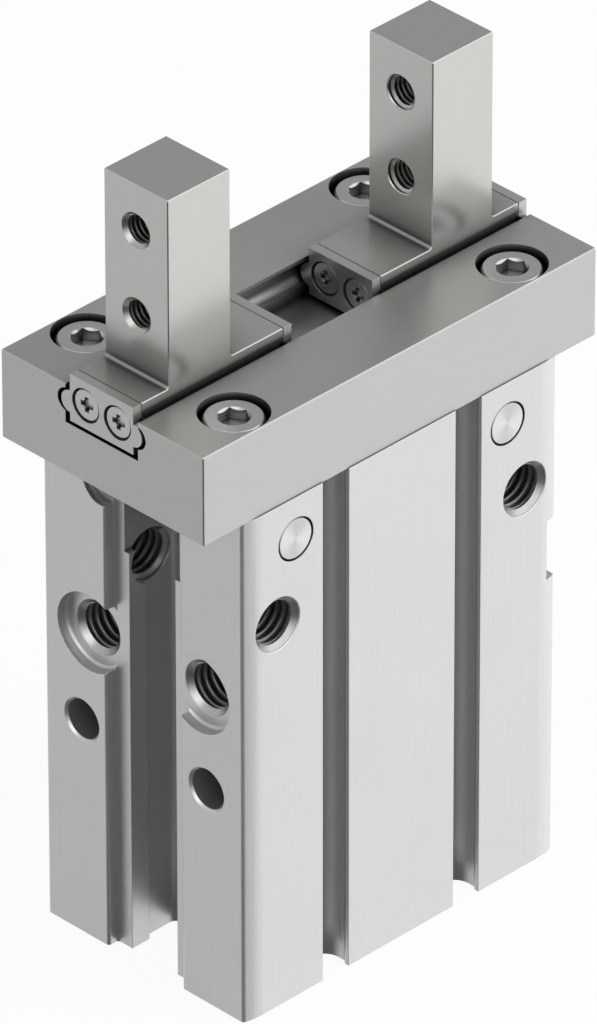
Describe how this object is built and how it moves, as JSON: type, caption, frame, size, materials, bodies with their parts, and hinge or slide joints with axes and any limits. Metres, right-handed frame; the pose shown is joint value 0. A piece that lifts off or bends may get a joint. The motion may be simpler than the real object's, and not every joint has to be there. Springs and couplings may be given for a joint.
{
  "type": "parallel gripper",
  "caption": "Pneumatic parallel gripper: a piston in an extruded housing works levers that slide the jaws together on a guide plate",
  "frame": {"origin": "middle of the housing's base, on the plane of symmetry of the jaws", "axes": "X along the jaw travel, Y across the jaws, Z from the housing's base to the finger tips"},
  "size_m": [0.0734, 0.0382, 0.1239],
  "materials": {
    "housing_aluminium": "extruded, brushed along its height and clear anodised",
    "plate_steel": "ground, with fine broken edges",
    "jaw_steel": "hardened and ground",
    "cap_steel": "stamped and ground",
    "screw_steel": "zinc plated and dull",
    "dowel_steel": "ground",
    "pin_steel": "ground, ends turned",
    "lever_steel": "hardened, oiled",
    "head_steel": "turned and hardened",
    "rod_steel": "hard chromed and polished",
    "piston_aluminium": "turned",
    "cover_aluminium": "turned and clear anodised",
    "magnet_ferrite": "plastic bonded magnet",
    "ring_plastic": "moulded",
    "seal_rubber": "moulded and greased",
    "bumper_rubber": "moulded",
    "wiper_felt": "dark felt",
    "bush_bronze": "sintered",
    "spring_steel": "phosphated"
  },
  "bodies": {
    "base": {"housing": "housing_aluminium", "guide_plate": "plate_steel", "plate_screws": "screw_steel", "plate_dowels": "dowel_steel", "pivot_pin_left": "pin_steel", "pivot_pin_right": "pin_steel", "rod_seal": "seal_rubber", "rod_bush": "bush_bronze", "bottom_cover": "cover_aluminium", "cover_seal": "seal_rubber", "retaining_ring": "spring_steel"},
    "piston": {"piston_rod": "rod_steel", "driving_head": "head_steel", "piston_upper": "piston_aluminium", "piston_lower": "piston_aluminium", "magnet_ring": "magnet_ferrite", "wear_ring": "ring_plastic", "piston_seal": "seal_rubber", "piston_screw": "screw_steel", "upper_bumper": "bumper_rubber", "lower_bumper": "bumper_rubber"},
    "left_jaw": {"jaw_left": "jaw_steel", "inner_cap_left": "cap_steel", "outer_cap_left": "cap_steel", "wipers_left": "wiper_felt", "cap_screws_left": "screw_steel"},
    "left_lever": {"lever_left": "lever_steel"},
    "right_jaw": {"jaw_right": "jaw_steel", "inner_cap_right": "cap_steel", "outer_cap_right": "cap_steel", "wipers_right": "wiper_felt", "cap_screws_right": "screw_steel"},
    "right_lever": {"lever_right": "lever_steel"}
  },
  "joints": [
    {"name": "piston_slide", "type": "slide", "parent": "base", "child": "piston", "axis": [0, 0, -1], "range_m": [0, 0.00601]},
    {"name": "left_jaw_slide", "type": "slide", "parent": "base", "child": "left_jaw", "axis": [1, 0, 0], "range_m": [0, 0.0075]},
    {"name": "right_jaw_slide", "type": "slide", "parent": "base", "child": "right_jaw", "axis": [-1, 0, 0], "range_m": [0, 0.0075]},
    {"name": "left_lever_hinge", "type": "hinge", "parent": "base", "child": "left_lever", "pos_m": [-0.0199, 0, 0.073], "axis": [0, 1, 0], "range_deg": [0, 24.85]},
    {"name": "right_lever_hinge", "type": "hinge", "parent": "base", "child": "right_lever", "pos_m": [0.0199, 0, 0.073], "axis": [0, -1, 0], "range_deg": [0, 24.85]}
  ],
  "couplings": [
    {"joint": "left_jaw_slide", "follows": "piston_slide", "ratio": 1.2474},
    {"joint": "right_jaw_slide", "follows": "piston_slide", "ratio": 1.2474},
    {"joint": "left_lever_hinge", "follows": "piston_slide", "rad_per_m": 71.996},
    {"joint": "right_lever_hinge", "follows": "piston_slide", "rad_per_m": 71.996}
  ]
}
